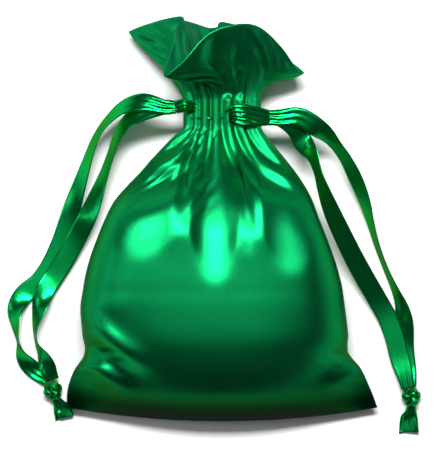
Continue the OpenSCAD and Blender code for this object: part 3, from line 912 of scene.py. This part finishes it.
def makeCloth(name, outer, side, s):
    # one side of the sack: outer layer, rounded hem fold, turned-in layer, and edges rolled into the seams
    inner = turnedIn(outer, side, s)
    hem, inside = outer[-1], inner[0]
    ahead = unit(outer[-1] - outer[-3])
    fold = [hem * (1 - t) + inside * t + ahead * 0.4 * math.sin(math.pi * t) for t in (0.25, 0.5, 0.75)]
    grid = np.concatenate([outer, fold, inner])
    w = np.concatenate([np.linspace(0, s["body"], s["bodyRows"] + 1),
                        s["body"] + np.linspace(0, s["casing"], s["casingRows"] + 1)[1:],
                        s["body"] + s["casing"] + np.linspace(0, s["header"], s["headerRows"] + 1)[1:]])
    w = np.concatenate([w, w[-1] + np.array([0.2, 0.4, 0.6]), w[-1] + 0.8 + np.arange(len(inner)) * 1.15])
    rolled = [grid[:, k] + np.array([way * s["roll"], 0, 0]) for k, way in ((0, 1), (-1, -1))]
    grid[:, [0, -1], 2] += side * s["edgeGap"]
    grid = np.concatenate([rolled[0][:, None], grid, rolled[1][:, None]], axis=1)
    u = np.concatenate([[-0.01], columnShare, [1.01]])
    tuck = grid[0] + np.array([0, s["roll"], 0])
    grid[0, 1:-1, 2] += side * s["edgeGap"]
    grid = np.concatenate([tuck[None], grid])
    w = np.concatenate([[-1], w])
    weave = np.zeros_like(grid)
    weave[..., 0] = u[None, :] * s["cut"]
    weave[..., 1] = w[:, None]
    rows, cols = grid.shape[:2]
    faces = gridFaces(rows, cols)
    if side < 0:
        faces = [f[::-1] for f in faces]
    gone = slitFaces(name, grid, faces)
    faces = [f for f in faces if f not in gone]
    # Painted shade: the turned-in facing, which is the satin's right side, gets the darker wrong-side
    # material to darken the inside of the mouth; the shell's inner face is the cloth's real wrong side
    dullShadedFrom = (len(outer) + 3) * cols
    cloth = meshPiece(name, grid.reshape(-1, 3), faces, weave.reshape(-1, 3), "satin")
    cloth.data.materials.append(finishes["satin_lining"])
    for polygon in cloth.data.polygons:
        polygon.material_index = 1 if min(polygon.vertices) >= dullShadedFrom else 0
    shell = cloth.modifiers.new("thickness", "SOLIDIFY")
    shell.thickness = s["thick"] * mm
    shell.offset = -1
    shell.material_offset = 1
    smooth = cloth.modifiers.new("smooth", "SUBSURF")
    smooth.levels = smooth.render_levels = 1
    return cloth, (float(w[-1]) + 1) * mm


slits = {"front_cloth": [(-10.6, 36.7), (3.2, 33.6)]}    # mm, where the ribbons come out of the casing
slitSize = (0.8, 2.0)                                    # mm, half of its width and of its height


def slitFaces(name, grid, faces):
    flat = grid.reshape(-1, 3)
    gone = set()
    for face in faces:
        x, y, z = flat[list(face)].mean(axis=0)
        for sx, sy in slits.get(name, ()):
            if abs(x - sx) < slitSize[0] and abs(y - sy) < slitSize[1] and z > 14.6:
                gone.add(face)
    return gone


cloths = {}
for name, outer, side, nodes in (
        ("front_cloth", outerFront, 1, ("front_panel", "front_frill", "front_facing")),
        ("back_cloth", outerBack, -1, ("back_panel", "back_frill", "back_facing"))):
    cloth, length = makeCloth(name, outer, side, sack)
    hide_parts(*nodes)
    level = sack["neckLevel"] * mm
    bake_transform(cloth)
    cloths[name] = cloth
say("cloths made")


# seam allowances inside the sack
seamSize = {"wide": 4, "thick": 0.5, "fray": 0.25}


def seamStrip(name, edge, inward, s):
    # two raw layers that lie together, from the seam line towards the middle of the sack
    count = len(edge)
    steps = np.linspace(0.25, 1, 5)
    top, low = [], []
    for k, t in enumerate(steps):
        line = edge + inward * (s["wide"] * t)
        if k == len(steps) - 1:
            line = line + inward * (s["fray"] * np.sin(np.arange(count) * 1.9))[:, None]
        wave = 0.22 * math.sin(3 * t) * np.sin(np.arange(count) / 4.0)
        top.append(line + np.array([0, 0, 1.0]) * (s["thick"] / 2 + wave)[:, None])
        low.append(line - np.array([0, 0, 1.0]) * (s["thick"] / 2 - wave)[:, None])
    body = np.array(top + low[::-1]).transpose(1, 0, 2)
    rings, cols = body.shape[:2]
    faces = roundFaces(rings, cols)
    weave = np.zeros_like(body)
    weave[..., 0] = np.arange(cols)
    weave[..., 1] = np.arange(rings)[:, None] * 1.2
    strip = meshPiece(name.replace("seam", "allowance"), body.reshape(-1, 3), faces,
                      weave.reshape(-1, 3), "seam")
    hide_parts(name)
    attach(strip, "sack")


for name, column, way in (("left_side_seam", 0, 1), ("right_side_seam", half, -1)):
    seamStrip(name, tube[4:88, column], np.array([way, 0, 0]), seamSize)
seamStrip("bottom_seam", tube[0, 4:half - 3], np.array([0, 1, 0]), seamSize)
say("seams")


# stitches round the casing, along the gathered cloth
stitching = {
    "count": 34,         # in one row on one side
    "length": 0.62,      # share of the pitch that shows
    "thread": 0.17,      # mm, half of the thread's thickness
    "upper": 7.3,        # rows of the casing's grid
    "lower": 0.7,
}


def clothPoint(grid, j, u):
    # a point of the cloth at a row that may lie between two rows, and a share across
    j0 = int(j)
    row = grid[j0] * (1 - j + j0) + grid[j0 + 1] * (j - j0)
    at = u * (len(row) - 1)
    return np.stack([np.interp(at, np.arange(len(row)), row[:, k]) for k in range(3)], -1)


def stitchRow(name, outer, side, rowAt, s):
    normals = clothNormals(outer, side)
    points, faces, weave = [], [], []
    a = np.linspace(0, 2 * math.pi, 8, endpoint=False)
    for k in range(s["count"]):
        u = 0.05 + 0.9 * (k + 0.5) / s["count"]
        reach = 0.45 / s["count"] * s["length"]
        t = np.linspace(-1, 1, 7)
        line = np.array([clothPoint(outer, rowAt, u + reach * v) for v in t])
        out = unit(np.array([clothPoint(normals, rowAt, u + reach * v) for v in t]))
        lift = s["thread"] * (0.9 - 1.7 * t ** 4)
        line = line + out * lift[:, None]
        along = unit(np.gradient(line, axis=0))
        across = np.cross(along, out)
        slim = s["thread"] * np.sqrt(1 - 0.75 * t ** 6)
        ring = (line[:, None] + (np.cos(a) * slim[:, None])[..., None] * across[:, None]
                + (np.sin(a) * slim[:, None])[..., None] * out[:, None])
        start = sum(len(p) for p in points)
        faces += roundFaces(7, 8, start=start)
        points.append(ring.reshape(-1, 3))
        way = np.zeros((7, 8, 3))
        way[..., 0] = a * s["thread"]
        way[..., 1] = t[:, None] + 3 * k
        weave.append(way.reshape(-1, 3))
    row = meshPiece(name.replace("stitches", "thread"), np.concatenate(points), faces,
                    np.concatenate(weave), "thread")
    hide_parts(name)
    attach(row, "sack")


for face, outer, side in (("front", outerFront, 1), ("back", outerBack, -1)):
    for level in ("upper", "lower"):
        rowAt = sack["bodyRows"] + stitching[level]
        stitchRow("%s_%s_stitches" % (face, level), outer, side, rowAt, stitching)
say("stitches")


# the hidden loops of the drawstrings and the roots that come out of the casing
def casingLoop(name, y, way):
    # round the back of the neck inside the channel, from one root's end to the other's
    j = sack["bodyRows"] + (y - sack["neckFrom"]) / sack["casing"] * sack["casingRows"]
    ringShare = np.linspace(0.60, 1.98, 60) if way < 0 else np.linspace(-0.45, -1.93, 60)
    rows = []
    centre = np.array([0, y, sack["neckLevel"]])
    for share in ringShare:
        s = share % 2
        p = clothPoint(outerFront, j, s) if s <= 1 else clothPoint(outerBack, j, 2 - s)
        inward = unit(centre - p)
        p = p + inward * 1.5
        rows.append((p[0], y, p[2], 90))
    rows = np.array(rows)
    for _ in range(2):
        rows[1:-1] = 0.5 * rows[1:-1] + 0.25 * (rows[2:] + rows[:-2])
    loop = ribbonPiece(name.replace("ribbon_loop", "casing_ribbon"), rows,
                       np.full(len(rows), ribbonSize["crumpled"]), ribbonSize, np.full(len(rows), 0.2))
    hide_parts(name)
    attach(loop, "sack")


casingLoop("left_ribbon_loop", 36.7, -1)
casingLoop("right_ribbon_loop", 33.3, 1)

# Roots in mm, x, y, z, roll and width: out of the casing's slit and over the gathers to the strand.
rootRoutes = {
    "left_outer_root": [
        (3, 36.7, 14.6, 0, 3.0), (-4, 36.7, 14.6, 0, 3.0), (-8, 36.7, 15.2, 0, 3.0),
        (-10.4, 37.2, 18.4, 8, 3.2), (-12.4, 37.4, 19.2, 6, 3.8), (-15, 36.7, 17.7, 0, 4.2)],
    "left_inner_root": [
        (3, 36.7, 14.1, 0, 3.0), (-4, 36.7, 14.1, 0, 3.0), (-8, 36.7, 14.6, 0, 3.0),
        (-10.8, 36.9, 17.6, 4, 3.2), (-12.6, 37, 18.5, 2, 3.8), (-15, 36.7, 17.27, 0, 4.2)],
    "right_outer_root": [
        (-9, 33.3, 14.6, 0, 3.0), (-2, 33.3, 14.6, 0, 3.0), (1.2, 33.9, 15.6, 0, 3.0),
        (3.2, 35.2, 19.8, 10, 3.6), (6, 35.4, 20.4, 6, 4.6), (10.4, 34.4, 19.2, 2, 5.0),
        (15, 33.3, 17.7, 0, 5.0)],
    "right_inner_root": [
        (-9, 33.3, 14.1, 0, 3.0), (-2, 33.3, 14.1, 0, 3.0), (1.4, 33.3, 15.2, 0, 3.0),
        (3.8, 33.4, 19.0, 6, 3.6), (6.6, 32.8, 19.6, 4, 4.6), (10.8, 33, 18.5, 2, 5.0),
        (15, 33.3, 17.27, 0, 5.0)],
}

for name, route in rootRoutes.items():
    side = name.split("_")[0]
    rows = curved(route, 7)
    share = np.linspace(0, 1, len(rows))
    crumple = 0.42 + 0.22 * np.sin(share * 19) * np.sin(share * math.pi)
    root = ribbonPiece(name.replace("root", "exit"), rows[:, :4], rows[:, 4], ribbonSize, crumple)
    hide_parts(name)
    side + "_drawstring"
    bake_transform(root)
say("drawstrings in the casing")
